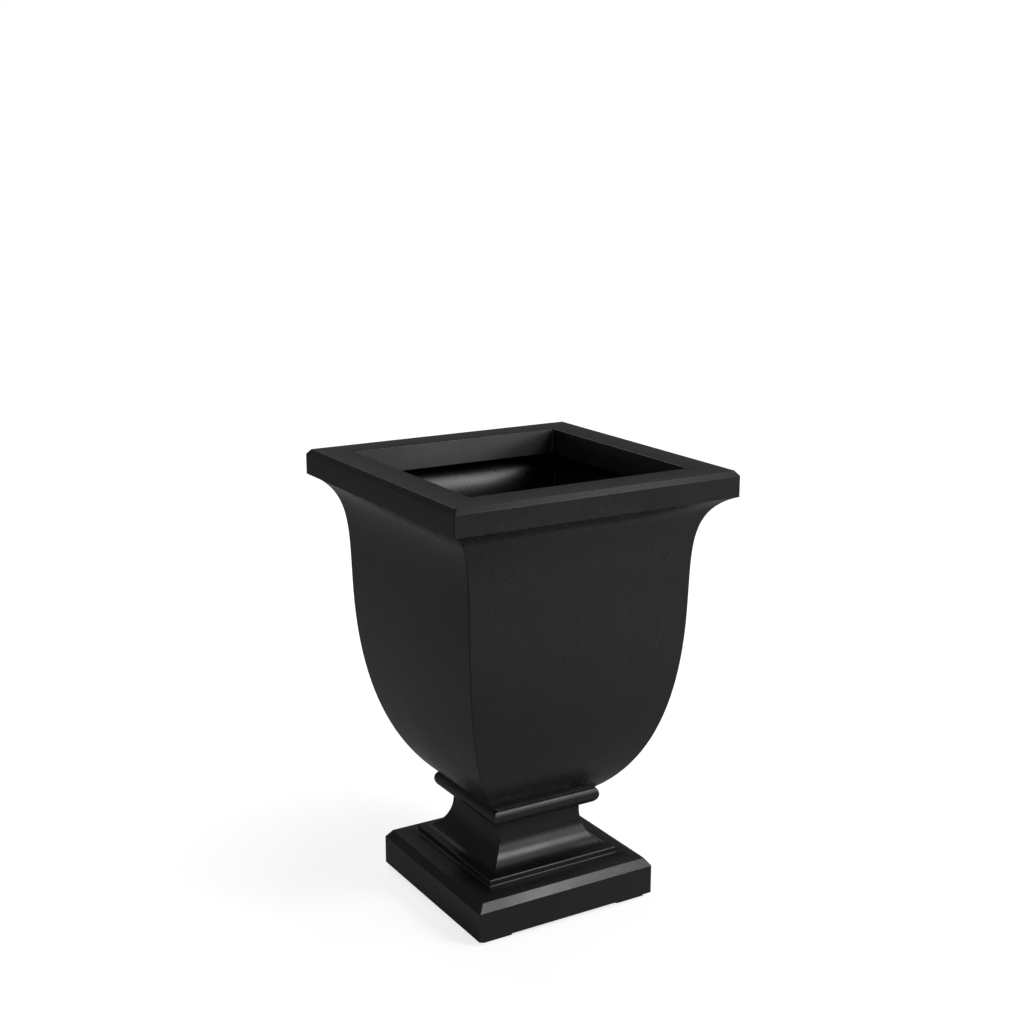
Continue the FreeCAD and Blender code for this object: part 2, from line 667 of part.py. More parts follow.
def make_shelf():
    half_shelf = f"({inside_at(SHELF_EDGE)} - shelf_gap)"
    width = f"2 * {half_shelf}"
    blank = block("shelf_blank", width, width, "shelf_edge_tall", z=SHELF_EDGE)
    plate = rounded("shelf_plate", blank, "shelf_corner", upright)
    pan_width = f"{width} - 2 * shelf_edge"
    pan_tall = f"shelf_edge_tall - shelf_thick + {SPARE}"
    pan_blank = block("shelf_pan_blank", pan_width, pan_width, pan_tall, z=f"{SHELF_EDGE} - {SPARE}")
    pan = rounded("shelf_pan", pan_blank, "shelf_corner - shelf_edge", upright)
    tray = cut("shelf_tray", plate, pan)

    # The legs are open below and closed by the plate.
    leg_tall = "water_depth - seat_gap + shelf_thick / 2"
    bore, bore_low = "leg_diameter - 2 * leg_wall", f"{STANDING} - {SPARE}"
    legs, bores = [], []
    for n, (x, y) in enumerate(leg_places()):
        legs.append(rod(f"leg_{n}", "leg_diameter", leg_tall, x, y, STANDING))
        bores.append(rod(f"leg_bore_{n}", bore, f"{SHELF_UNDER} - ({bore_low})", x, y, bore_low))
    hole_low, hole_tall = f"{SHELF_UNDER} - {SPARE}", f"shelf_thick + 2 * {SPARE}"
    weeps = [rod(f"weep_{n}", "weep_diameter", hole_tall, x, y, hole_low)
             for n, (x, y) in enumerate(weep_places(half_shelf))]
    grips = []
    for side, sign in (("left", -1), ("right", 1)):
        x = f"{sign} * ({half_shelf} - grip_inset)"
        slot = block(f"grip_{side}_block", "grip_wide", "grip_long", hole_tall, x, "0", hole_low)
        grips.append(rounded(f"grip_{side}", slot, "grip_wide / 3", upright))
    cuts = joined("shelf_cuts", *bores, *weeps, *grips)
    return cut("soil_shelf", joined("shelf_with_legs", tray, *legs), cuts)


# ---------------------------------------------------------------------------------------------
# Build, check and write
# ---------------------------------------------------------------------------------------------
def write_parts(parts):
    doc.recompute()
    for thing in doc.Objects:
        if "Invalid" in thing.State or "Error" in thing.State:
            raise RuntimeError(f"{thing.Name} did not build: {thing.State}")
    os.makedirs("parts", exist_ok=True)
    for part in parts:
        shape = part.Shape
        if shape.isNull() or not shape.isValid() or not shape.Solids:
            raise RuntimeError(f"{part.Label} has no valid solid")
        shape.exportStep(f"parts/{part.Label}.step")
        size = shape.optimalBoundingBox()
        print(f"{part.Label:24s} solids {len(shape.Solids):2d}  volume {shape.Volume / 1000:9.2f} cm3"
              f"  z {size.ZMin:7.2f} to {size.ZMax:7.2f}  width {size.XLength:7.2f}")


parts = [
    make_bowl(),
    make_pedestal(),
    make_gasket(),
    make_bolts(),
    make_washers("bolt_washers", "washer_diameter", "washer_thick", SEAL_TOP),
    make_washers("seal_washers", "seal_diameter", "seal_thick", FLOOR_TOP),
    make_washers("deck_washers", "spreader_diameter", "spreader_thick", SPREADER_UNDER),
    make_nuts(),
    make_shelf(),
    make_bung(),
]
parts += [make_foot_pad(*corner) for corner in CORNERS]
for part in parts:
    part.Label = part.Name
write_parts(parts)
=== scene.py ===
# %% [markdown]
# # A square urn planter in satin black plastic
#
# The planter has a flared bowl with a wide flat rim, bolted to a hollow pedestal that stands on
# a square plinth. Its solids are already made and packed, so this lesson loads them as a fixed
# frame, models the moulded shapes again with softer edges, and gives every piece its finish.

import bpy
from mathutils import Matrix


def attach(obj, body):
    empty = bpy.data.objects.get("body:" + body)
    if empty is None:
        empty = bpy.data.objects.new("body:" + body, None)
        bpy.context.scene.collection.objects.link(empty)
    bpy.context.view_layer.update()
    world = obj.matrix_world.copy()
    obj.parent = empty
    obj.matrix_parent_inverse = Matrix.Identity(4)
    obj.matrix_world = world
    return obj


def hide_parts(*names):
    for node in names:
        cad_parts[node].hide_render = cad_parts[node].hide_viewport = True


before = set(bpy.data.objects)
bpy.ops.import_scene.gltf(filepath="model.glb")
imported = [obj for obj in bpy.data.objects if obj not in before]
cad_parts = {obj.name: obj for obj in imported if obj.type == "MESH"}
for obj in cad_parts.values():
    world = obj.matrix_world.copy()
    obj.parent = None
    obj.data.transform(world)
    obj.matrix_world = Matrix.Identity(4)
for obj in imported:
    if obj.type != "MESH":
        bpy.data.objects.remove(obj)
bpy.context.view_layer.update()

import math

import bmesh
import bpy
from mathutils import Vector

# %% [markdown]
# ## Sizes
#
# The planter is square in plan, so a single side view describes the bowl and another one the
# pedestal. The points of these views are half widths and heights above the floor. They are
# written in millimetres, as on the drawing, and turned into metres where a shape is made.

# %% Sizes that several pieces share
MM = 0.001
WALL = 5.0
PLINTH_FOOT = 7.0
DECK_TOP = 183.1
BOWL_FOOT = 185.1
FLOOR_TOP = 191.1
RIM_TOP = 724.4
BOLT_CIRCLE = 100.0
DRAIN_DIAMETER = 25.0
BOLT_HOLE = 9.0
PAD_MIDDLE = 126.0


# %% Points along a curve
def curve_points(start, leaving, arriving, end, steps=22):
    """Points along a cubic curve, without its start."""
    points = []
    for step in range(1, steps + 1):
        t = step / steps
        weights = ((1 - t) ** 3, 3 * t * (1 - t) ** 2, 3 * t * t * (1 - t), t ** 3)
        corners = (start, leaving, arriving, end)
        points.append(tuple(sum(w * c[axis] for w, c in zip(weights, corners)) for axis in (0, 1)))
    return points


def along(point, reach, lean):
    """The point that far up a line that leans outwards from upright by so many degrees."""
    lean = math.radians(lean)
    return point[0] + reach * math.sin(lean), point[1] + reach * math.cos(lean)


def behind(point, wall, lean):
    """The point on the inner face of a wall that leans like that."""
    lean = math.radians(lean)
    return point[0] - wall * math.cos(lean), point[1] + wall * math.sin(lean)


def arc_points(middle, radius, first, last, steps):
    """Points along an arc, from one angle to the other in degrees."""
    points = []
    for step in range(steps + 1):
        angle = math.radians(first + (last - first) * step / steps)
        points.append((middle[0] + radius * math.cos(angle), middle[1] + radius * math.sin(angle)))
    return points


# %% [markdown]
# ## Soft arrises
#
# No moulded edge is truly sharp: it has a radius of about a millimetre, and that radius catches
# a thin line of light. The radii could come from a bevel modifier afterwards, but where a wide
# corner radius meets a narrow one it leaves uneven patches. Here each sharp point of the side
# view is replaced by a short arc before the shape is drawn, so every ring stays clean.

# %% Round the sharp points of a side view
SHARP = math.radians(12)
ARC_STEPS = 3


def softened(points, radius, own_radius=None):
    """Replace the sharp points of a side view by arcs; own_radius gives some points their own."""
    soft = [points[0]]
    for number in range(1, len(points) - 1):
        here = Vector(points[number])
        back, ahead = Vector(points[number - 1]) - here, Vector(points[number + 1]) - here
        turn = math.pi - back.angle(ahead)
        if turn < SHARP:
            soft.append(tuple(here))
            continue
        size = (own_radius or {}).get(points[number], radius)
        reach = min(size * math.tan(turn / 2), 0.45 * back.length, 0.45 * ahead.length)
        size = reach / math.tan(turn / 2)
        to_middle = (back.normalized() + ahead.normalized()).normalized()
        middle = here + to_middle * (size / math.cos(turn / 2))
        first = here + back.normalized() * reach - middle
        last = here + ahead.normalized() * reach - middle
        whole = first.angle_signed(last)
        for step in range(ARC_STEPS + 1):
            angle = -whole * step / ARC_STEPS
            across = Vector((
                first.x * math.cos(angle) - first.y * math.sin(angle),
                first.x * math.sin(angle) + first.y * math.cos(angle),
            ))
            soft.append(tuple(middle + across))
    soft.append(points[-1])
    return soft


# %% [markdown]
# ## Drawing a square wall ring by ring
#
# Both moulded pieces are made in the way one would draw them by hand: a plane is added at the
# size of the first ring, its border is extruded up to the next height and scaled to the next
# width, and so on along the side view, up the outside, over the top and down the inside. The
# corner edges then get the radius of the mould with the bevel tool.

# %% Helpers for work in edit mode
def start_fresh():
    """Leave edit mode with nothing selected."""
    if bpy.context.mode != "OBJECT":
        bpy.ops.object.mode_set(mode="OBJECT")
    bpy.ops.object.select_all(action="DESELECT")


def make_active(piece):
    """Select one piece alone."""
    start_fresh()
    piece.select_set(True)
    bpy.context.view_layer.objects.active = piece


def pick(piece, kind, test):
    """Select only the vertices, edges or faces that pass a test."""
    bpy.ops.mesh.select_mode(type=kind)
    bpy.ops.mesh.select_all(action="DESELECT")
    shape = bmesh.from_edit_mesh(piece.data)
    items = {"VERT": shape.verts, "EDGE": shape.edges, "FACE": shape.faces}[kind]
    picked = [item for item in items if test(item)]
    for item in picked:
        item.select_set(True)
    shape.select_flush_mode()
    bmesh.update_edit_mesh(piece.data)
    return len(picked)


def on_corner(edge):
    """An edge that climbs one of the four corners."""
    run = edge.verts[0].co - edge.verts[1].co
    on_diagonal = all(abs(abs(v.co.x) - abs(v.co.y)) < 1e-6 for v in edge.verts)
    return on_diagonal and abs(run.z) > run.length / 4


# %% Helpers that draw a wall
def draw_rings(profile):
    """Draw a closed wall from the ring that is selected, through (half width, height)."""
    bpy.ops.mesh.edge_face_add()
    bpy.ops.mesh.select_all(action="SELECT")
    for (half, height), (next_half, next_height) in zip(profile, profile[1:]):
        rise = (0, 0, (next_height - height) * MM)
        bpy.ops.mesh.extrude_edges_move(TRANSFORM_OT_translate={"value": rise})
        scale = next_half / half
        bpy.ops.transform.resize(value=(scale, scale, 1), center_override=(0, 0, 0))
    bpy.ops.mesh.edge_face_add()


def close_up():
    """Merge what lies in one place, turn the faces outwards and leave edit mode."""
    bpy.ops.mesh.select_all(action="SELECT")
    bpy.ops.mesh.remove_doubles(threshold=1e-6)
    bpy.ops.mesh.normals_make_consistent(inside=False)
    start_fresh()


def square_ring(name, half, height, corner_radius=None):
    """Start a piece with the four edges of a square, and round its points if asked."""
    start_fresh()
    bpy.ops.mesh.primitive_plane_add(size=2 * half * MM, enter_editmode=True)
    piece = bpy.context.active_object
    piece.name = name
    if corner_radius:
        bpy.ops.mesh.bevel(offset=corner_radius * MM, segments=8, affect="VERTICES", clamp_overlap=False)
        bpy.ops.mesh.select_all(action="SELECT")
    bpy.ops.mesh.select_mode(type="EDGE")
    bpy.ops.transform.translate(value=(0, 0, height * MM))
    bpy.ops.mesh.delete(type="ONLY_FACE")
    bpy.ops.mesh.select_all(action="SELECT")
    return piece


def square_wall(name, profile, corner_radius):
    """Draw a square wall through rings of (half width, height), and round its corners."""
    piece = square_ring(name, *profile[0])
    draw_rings(profile)
    pick(piece, "EDGE", on_corner)
    bpy.ops.mesh.bevel(offset=corner_radius * MM, segments=4, affect="EDGES", clamp_overlap=False)
    close_up()
    print(name, "rings", len(profile), "faces", len(piece.data.polygons))
    return piece


# %% Helpers that finish a piece
def apply_modifier(piece, kind, name, **settings):
    """Add a modifier with these settings and make its result the mesh."""
    make_active(piece)
    modifier = piece.modifiers.new(name, kind)
    for key, value in settings.items():
        setattr(modifier, key, value)
    bpy.ops.object.modifier_apply(modifier=name)


def drill(piece, holes):
    """Cut upright round holes, each (diameter, x, y, low, high), through a piece."""
    cutters = []
    for diameter, x, y, low, high in holes:
        start_fresh()
        bpy.ops.mesh.primitive_cylinder_add(
            vertices=48, radius=diameter / 2 * MM, depth=(high - low) * MM,
            location=(x * MM, y * MM, (low + high) / 2 * MM))
        cutters.append(bpy.context.active_object)
    for cutter in cutters:
        cutter.select_set(True)
    bpy.ops.object.join()
    cutter = bpy.context.active_object
    apply_modifier(piece, "BOOLEAN", "holes", object=cutter, operation="DIFFERENCE", solver="EXACT")
    bpy.data.objects.remove(cutter, do_unlink=True)
    print(piece.name, "has", len(holes), "holes,", len(piece.data.polygons), "faces")


SMOOTH_UNDER = math.radians(35)


def smooth(piece):
    """Shade the curves smooth and keep the flats flat right up to their soft edges."""
    make_active(piece)
    bpy.ops.object.shade_smooth_by_angle(angle=SMOOTH_UNDER)
    apply_modifier(piece, "WEIGHTED_NORMAL", "flat faces", keep_sharp=True, weight=100)


# %% [markdown]
# ## The bowl
#
# The wall of the bowl flares out of a narrow foot, turns up into a nearly upright belly, and
# opens again in a cove under the wide band of the rim. Two cubic curves follow it, one from the
# foot to the waist and one from the waist to the rim. The inside keeps a wall's thickness behind
# them, and the rim turns in over the mouth and down again as a short lip.

# %% Side view of the bowl
HALF_RIM, RIM_DEPTH, HALF_MOUTH, LIP_DEPTH, LIP_LEAN = 250.0, 41.0, 192.0, 41.0, 11.0
BEVEL_IN, BEVEL_DOWN = 6.5, 7.9
FOOT_FLARE, FOOT_REACH = 51.2, 84.4
WAIST_LEAN, BELLY_REACH, COVE_REACH = 2.3, 138.8, 107.5
COVE_TILT, COVE_SPREAD, COVE_SET_IN = 21.8, 60.1, 0.5
HALF_FOOT, HALF_WAIST, WAIST_RISE = 96.5, 196.3, 304.1

foot = (HALF_FOOT, BOWL_FOOT)
waist = (HALF_WAIST, BOWL_FOOT + WAIST_RISE)
rim_under = RIM_TOP - RIM_DEPTH
cove_top = (HALF_RIM - COVE_SET_IN, rim_under)
outer_wall = [foot]
outer_wall += curve_points(
    foot, along(foot, FOOT_REACH, FOOT_FLARE), along(waist, -BELLY_REACH, WAIST_LEAN), waist)
outer_wall += curve_points(
    waist, along(waist, COVE_REACH, WAIST_LEAN), along(cove_top, -COVE_SPREAD, 90 - COVE_TILT), cove_top)

flare, tilt = math.radians(FOOT_FLARE), math.radians(COVE_TILT)
climb = (FLOOR_TOP - BOWL_FOOT - WALL * math.sin(flare)) / math.cos(flare)
set_back = (WALL - COVE_SET_IN) / math.cos(tilt)
in_foot = (along(behind(foot, WALL, FOOT_FLARE), climb, FOOT_FLARE)[0], FLOOR_TOP)
in_waist = behind(waist, WALL, WAIST_LEAN)
in_cove_top = (HALF_RIM - WALL, rim_under + WALL / math.cos(tilt) - set_back * math.sin(tilt))
inner_wall = [in_foot]
inner_wall += curve_points(
    in_foot, along(in_foot, FOOT_REACH - climb, FOOT_FLARE),
    along(in_waist, -BELLY_REACH, WAIST_LEAN), in_waist)
inner_wall += curve_points(
    in_waist, along(in_waist, COVE_REACH, WAIST_LEAN),
    along(in_cove_top, set_back - COVE_SPREAD, 90 - COVE_TILT), in_cove_top)

lip_reach = LIP_DEPTH / math.cos(math.radians(LIP_LEAN))
lip_wall = WALL / math.cos(math.radians(LIP_LEAN))
mouth_edge = (HALF_MOUTH, RIM_TOP)
behind_lip = (HALF_MOUTH + lip_wall, RIM_TOP)
rim = [
    (HALF_RIM, rim_under),
    (HALF_RIM, RIM_TOP - BEVEL_DOWN),
    (HALF_RIM - BEVEL_IN, RIM_TOP),
    mouth_edge,
    along(mouth_edge, -lip_reach, LIP_LEAN),
    along(behind_lip, -lip_reach, LIP_LEAN),
    along(behind_lip, -WALL / math.cos(math.radians(LIP_LEAN)), LIP_LEAN),
    (HALF_RIM - WALL - BEVEL_IN, RIM_TOP - WALL),
    (HALF_RIM - WALL, RIM_TOP - WALL - BEVEL_DOWN),
]
ARRIS, MOUTH_EASE = 0.9, 1.5
bowl_profile = softened(outer_wall + rim + inner_wall[::-1], ARRIS, {mouth_edge: MOUTH_EASE})
print("bowl profile points", len(bowl_profile), "inner foot", in_foot)

# %% Draw the bowl
BOWL_CORNER = 2.5
bowl = square_wall("bowl_body", bowl_profile, BOWL_CORNER)
bolt_places = [
    (BOLT_CIRCLE / 2 * math.cos(math.radians(turn)), BOLT_CIRCLE / 2 * math.sin(math.radians(turn)))
    for turn in (0, 90, 180, 270)
]
SPARE = 4.0
low, high = BOWL_FOOT - SPARE, FLOOR_TOP + SPARE
drill(bowl, [(BOLT_HOLE, x, y, low, high) for x, y in bolt_places] + [(DRAIN_DIAMETER, 0, 0, low, high)])
smooth(bowl)

# %% [markdown]
# ## The pedestal
#
# The pedestal is one hollow moulding: a plinth with bevelled edges and a top that falls a little
# so that water runs off, a step, a hollow curve up to a narrow neck, and a rounded bead under
# the bowl. It is drawn like the bowl, starting from the deck that carries the bowl.

# %% Side view of the pedestal
DECK_UNDER, BEAD_TOP, BEAD_TALL, BEAD_RADIUS, HALF_BEAD = 177.1, 184.6, 29.1, 16.0, 100.5
HALF_NECK, SCOTIA_TOP, STEP_TOP = 76.5, 144.0, 83.0
HALF_SCOTIA, HALF_STEP, STEP_FOOT, SCOTIA_TILT = 118.0, 121.0, 72.4, 8.5
STEP_EASE, NECK_EASE = 3.0, 4.0
HALF_PLINTH, PLINTH_BEVEL, PLINTH_EDGE = 163.0, 54.6, 67.3
PLINTH_BEVEL_IN, FLANGE, HALF_UNDERSIDE = 9.5, 6.0, 90.0
HALF_RECESS = 80.5
HANDLE = 4 / 3 * (math.sqrt(2) - 1)

bead_foot = BEAD_TOP - BEAD_TALL
shoulder = math.degrees(math.asin((BEAD_TALL - BEAD_RADIUS) / BEAD_RADIUS))
bead = arc_points((HALF_BEAD - BEAD_RADIUS, bead_foot + BEAD_RADIUS), BEAD_RADIUS, shoulder, -90, 16)
scotia_top, scotia_foot = (HALF_NECK, SCOTIA_TOP), (HALF_SCOTIA, STEP_TOP)
tilt = math.tan(math.radians(SCOTIA_TILT))
run = HANDLE * (HALF_SCOTIA - HALF_NECK)
scotia = [scotia_top] + curve_points(
    scotia_top, (HALF_NECK, SCOTIA_TOP - HANDLE * (SCOTIA_TOP - STEP_TOP)),
    (HALF_SCOTIA - run, STEP_TOP + run * tilt), scotia_foot)
under_bead, step_foot = (HALF_NECK, bead_foot), (HALF_STEP, STEP_FOOT)
# The first point of this arc is left out, because the hollow curve ends in it.
step_edge = arc_points((HALF_STEP - STEP_EASE, STEP_TOP - STEP_EASE), STEP_EASE, 90, 0, 6)[1:]
plinth_edge = (HALF_PLINTH - PLINTH_BEVEL_IN, PLINTH_EDGE)
outside = [
    (HALF_RECESS, DECK_TOP), (HALF_RECESS, BEAD_TOP), *bead, under_bead, *scotia,
    *step_edge, step_foot, plinth_edge, (HALF_PLINTH, PLINTH_BEVEL),
    (HALF_PLINTH, PLINTH_FOOT), (HALF_UNDERSIDE, PLINTH_FOOT), (HALF_UNDERSIDE, PLINTH_FOOT + FLANGE),
]
in_neck, in_step = HALF_NECK - WALL, HALF_STEP - WALL
in_curve_foot, in_curve_top = (in_step, STEP_TOP - WALL), (in_neck, SCOTIA_TOP)
in_run = HANDLE * (in_step - in_neck)
inside = [
    (HALF_PLINTH - WALL, PLINTH_FOOT + FLANGE), (HALF_PLINTH - WALL, PLINTH_BEVEL - WALL),
    (plinth_edge[0] - WALL, PLINTH_EDGE - WALL), (in_step, STEP_FOOT - WALL), in_curve_foot,
    *curve_points(
        in_curve_foot, (in_step - in_run, in_curve_foot[1] + in_run * tilt),
        (in_neck, SCOTIA_TOP - HANDLE * (SCOTIA_TOP - STEP_TOP + WALL)), in_curve_top),
    (in_neck, DECK_UNDER),
]
own_ease = {under_bead: NECK_EASE, step_foot: STEP_EASE}
pedestal_profile = softened(outside + inside, ARRIS, own_ease)
print("pedestal profile points", len(pedestal_profile))

# %% Draw the pedestal
PEDESTAL_CORNER = 2.0
STUD_HOLE = 8.6
pedestal = square_wall("pedestal_body", pedestal_profile, PEDESTAL_CORNER)
low, high = DECK_UNDER - SPARE, BEAD_TOP + SPARE
holes = [(BOLT_HOLE, x, y, low, high) for x, y in bolt_places] + [(DRAIN_DIAMETER, 0, 0, low, high)]
low, high = PLINTH_FOOT - SPARE, PLINTH_FOOT + FLANGE + SPARE
pad_middles = (-PAD_MIDDLE, PAD_MIDDLE)
holes += [(STUD_HOLE, x, y, low, high) for x in pad_middles for y in pad_middles]
drill(pedestal, holes)
smooth(pedestal)

# %% [markdown]
# ## Round pieces
#
# The bung, the legs of the shelf and the studs of the feet are round. They are drawn in the same
# way as the square walls, from a circle, which gives the same shape as turning on a lathe and
# keeps one way of working for the whole planter.

# %% Helpers for round pieces and copies
def turned(name, profile, sides=64):
    """Draw a round piece through rings of (radius, height), closed at both ends."""
    radius, height = profile[0]
    start_fresh()
    bpy.ops.mesh.primitive_circle_add(vertices=sides, radius=radius * MM, enter_editmode=True)
    piece = bpy.context.active_object
    piece.name = name
    bpy.ops.transform.translate(value=(0, 0, height * MM))
    draw_rings(profile)
    close_up()
    return piece


def moved(piece, x, y):
    """Move the mesh, so that the object stays at the origin."""
    make_active(piece)
    bpy.ops.object.mode_set(mode="EDIT")
    bpy.ops.mesh.select_all(action="SELECT")
    bpy.ops.transform.translate(value=(x * MM, y * MM, 0))
    start_fresh()
    return piece


def copied(piece, name, x, y):
    """A copy with its own mesh, moved to its place."""
    make_active(piece)
    bpy.ops.object.duplicate(linked=False)
    copy = bpy.context.active_object
    copy.name = name
    return moved(copy, x, y)


def combine(piece, others, operation):
    """Join other pieces to this one, or cut them out of it."""
    for other in others:
        apply_modifier(piece, "BOOLEAN", "combine", object=other, operation=operation, solver="EXACT")
        bpy.data.objects.remove(other, do_unlink=True)


# %% [markdown]
# ## The soil shelf
#
# The shelf is a shallow tray turned upside down: a plate with an edge that stiffens it, on four
# hollow legs that stand in the water. Its corners are wide, so the plane that it starts from is
# rounded first. The legs are joined to the plate with a boolean modifier, and the weep holes and
# the two finger slots are cut out in the same way.

# %% Side view of the shelf
SHELF_TOP, SHELF_THICK, SHELF_EDGE_TALL, SHELF_EDGE = 275.1, 4.0, 10.0, 3.0
SHELF_CORNER, STANDING = 18.0, 191.3
LEG_SPACING, LEG_RADIUS, LEG_WALL, LEG_LAP = 124.0, 15.0, 3.0, 0.5
SHELF_FLAT = 20.0
HALF_SHELF = max(corner[0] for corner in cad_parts["soil_shelf"].bound_box) / MM

# The drawing starts and ends well inside the edge, where a flat face closes the ring.
flat, in_edge = HALF_SHELF - SHELF_FLAT, HALF_SHELF - SHELF_EDGE
shelf_under, edge_foot = SHELF_TOP - SHELF_THICK, SHELF_TOP - SHELF_EDGE_TALL
shelf_profile = softened([
    (flat, SHELF_TOP), (HALF_SHELF, SHELF_TOP), (HALF_SHELF, edge_foot),
    (in_edge, edge_foot), (in_edge, shelf_under), (flat, shelf_under),
], ARRIS)
print("half of the shelf", round(HALF_SHELF, 2))

# %% Draw the plate and its legs
soil_shelf = square_ring("soil_shelf_tray", *shelf_profile[0], SHELF_CORNER)
draw_rings(shelf_profile)
close_up()
bore, in_plate = LEG_RADIUS - LEG_WALL, SHELF_TOP - SHELF_THICK / 2
leg_profile = softened([
    (bore / 2, in_plate - LEG_LAP), (bore, in_plate - LEG_LAP), (bore, STANDING), (LEG_RADIUS, STANDING),
    (LEG_RADIUS, in_plate), (bore / 2, in_plate),
], ARRIS)
leg = turned("shelf_leg", leg_profile)
half_spacing = LEG_SPACING / 2
leg_places = [(x, y) for x in (-half_spacing, half_spacing) for y in (-half_spacing, half_spacing)]
legs = [copied(leg, "shelf_leg", x, y) for x, y in leg_places]
bpy.data.objects.remove(leg, do_unlink=True)
combine(soil_shelf, legs, "UNION")
print("shelf with legs", len(soil_shelf.data.polygons), "faces")

# %% Cut the finger slots and the weep holes
WEEP, WEEP_SPACING = 9.0, 31.0
GRIP_LONG, GRIP_WIDE, GRIP_INSET = 60.0, 22.0, 35.0
web = SHELF_THICK + WEEP / 2
grip_middle = HALF_SHELF - GRIP_INSET


def grip_cutter(side):
    """The solid of one finger slot, with rounded corners, on one side of the shelf."""
    start_fresh()
    bpy.ops.mesh.primitive_cube_add(size=1, enter_editmode=True)
    cutter = bpy.context.active_object
    bpy.ops.transform.resize(value=(GRIP_WIDE * MM, GRIP_LONG * MM, 3 * SHELF_THICK * MM))
    bpy.ops.transform.translate(value=(side * grip_middle * MM, 0, in_plate * MM))
    pick(cutter, "EDGE", lambda edge: abs((edge.verts[0].co - edge.verts[1].co).z) > SHELF_THICK * MM)
    bpy.ops.mesh.bevel(offset=GRIP_WIDE / 3 * MM, segments=8, affect="EDGES")
    start_fresh()
    return cutter


def weep_places():
    """A square grid of holes, less those near the edge, a leg or a finger slot."""
    reach = HALF_SHELF - SHELF_EDGE - web
    count = int(reach // WEEP_SPACING)
    places = []
    for column in range(-count, count + 1):
        for row in range(-count, count + 1):
            x, y = column * WEEP_SPACING, row * WEEP_SPACING
            near_leg = any(math.hypot(x - a, y - b) < LEG_RADIUS + web for a, b in leg_places)
            near_grip = abs(abs(x) - grip_middle) < GRIP_WIDE / 2 + web and abs(y) < GRIP_LONG / 2 + web
            if not (near_leg or near_grip):
                places.append((x, y))
    return places


combine(soil_shelf, [grip_cutter(-1), grip_cutter(1)], "DIFFERENCE")
low, high = shelf_under - SPARE, SHELF_TOP + SPARE
drill(soil_shelf, [(WEEP, x, y, low, high) for x, y in weep_places()])
smooth(soil_shelf)

# %% [markdown]
# ## The drain bung
#
# The bung is a moulded rubber plug: a body that narrows a little, so that it wedges in the
# drain, a wide flange that seals on the floor, and a stem with a button to pull it by.

# %% Draw the bung
BUNG_GAP, BUNG_TAPER, BUNG_LONG = 0.3, 1.2, 22.0
BUNG_FLANGE, BUNG_FLANGE_THICK = 20.0, 4.0
PULL_RADIUS, PULL_TALL, PULL_HEAD, BUNG_EASE = 6.0, 14.0, 9.0, 1.2

bung_radius = DRAIN_DIAMETER / 2 - BUNG_GAP
bung_foot, flange_top = STANDING - BUNG_LONG, STANDING + BUNG_FLANGE_THICK
button_under, button_top = flange_top + PULL_TALL * 2 / 3, flange_top + PULL_TALL
bung_profile = softened([
    (bung_radius / 2, bung_foot), (bung_radius - BUNG_TAPER, bung_foot), (bung_radius, STANDING),
    (BUNG_FLANGE, STANDING), (BUNG_FLANGE, flange_top), (PULL_RADIUS, flange_top),
    (PULL_RADIUS, button_under), (PULL_HEAD, button_under), (PULL_HEAD, button_top),
    (PULL_HEAD / 2, button_top),
], BUNG_EASE)
drain_bung = turned("drain_bung_rubber", bung_profile, sides=96)
smooth(drain_bung)
print("bung faces", len(drain_bung.data.polygons))

# %% [markdown]
# ## The feet
#
# A square rubber pad sits under each corner of the plinth, held by a stud with a barb that snaps
# through the flange. In the picture the pads only show as a thin dark gap under the plinth. One
# pad is modelled and copied, each copy with a mesh of its own.

# %% Draw one foot pad and copy it
HALF_PAD, PAD_CORNER, PAD_FLAT = 29.0, 4.0, 8.0
STUD_RADIUS, STUD_SUNK, BARB_RADIUS, BARB_TALL = 4.0, 1.0, 5.0, 4.0

flange_over = PLINTH_FOOT + FLANGE
flat = HALF_PAD - PAD_FLAT
pad_profile = softened([(flat, 0), (HALF_PAD, 0), (HALF_PAD, PLINTH_FOOT), (flat, PLINTH_FOOT)], ARRIS)
stud_profile = [
    (STUD_RADIUS, PLINTH_FOOT - STUD_SUNK), (STUD_RADIUS, flange_over), (BARB_RADIUS, flange_over),
    (STUD_RADIUS, flange_over + BARB_TALL),
]
pad = square_ring("foot_pad", *pad_profile[0], PAD_CORNER)
draw_rings(pad_profile)
close_up()
combine(pad, [turned("pad_stud", stud_profile, sides=32)], "UNION")
smooth(pad)
CORNERS = (("front_left", -1, -1), ("front_right", 1, -1), ("rear_right", 1, 1), ("rear_left", -1, 1))
foot_pads = {
    f"foot_pad_{corner}": copied(pad, f"{corner}_foot_pad", right * PAD_MIDDLE, back * PAD_MIDDLE)
    for corner, right, back in CORNERS
}
bpy.data.objects.remove(pad, do_unlink=True)
print("feet:", list(foot_pads))

# %% [markdown]
# ## Satin black plastic
#
# The plastic is coloured right through, so wear doesn't show a second colour: handled edges are
# only a little paler. The mould leaves a fine grain, which spreads the highlights, and a large
# moulding is never quite flat, which bends them. The grain and the waves are noise that reads
# Object coordinates, so they stay in place on the piece.

# %% Build a material from nodes
def add_node(tree, kind, **inputs):
    """Add a node and set its inputs by name; a value that is a socket is linked."""
    node = tree.nodes.new(kind)
    for name, value in inputs.items():
        socket = node.inputs[name.replace("_", " ")]
        if isinstance(value, bpy.types.NodeSocket):
            tree.links.new(value, socket)
        else:
            socket.default_value = value
    return node


def noise(tree, places, scale, detail=2.0, roughness=0.5):
    """Noise from 0 to 1 at these places."""
    node = add_node(
        tree, "ShaderNodeTexNoise", Vector=places, Scale=scale, Detail=detail, Roughness=roughness)
    return node.outputs["Fac"]


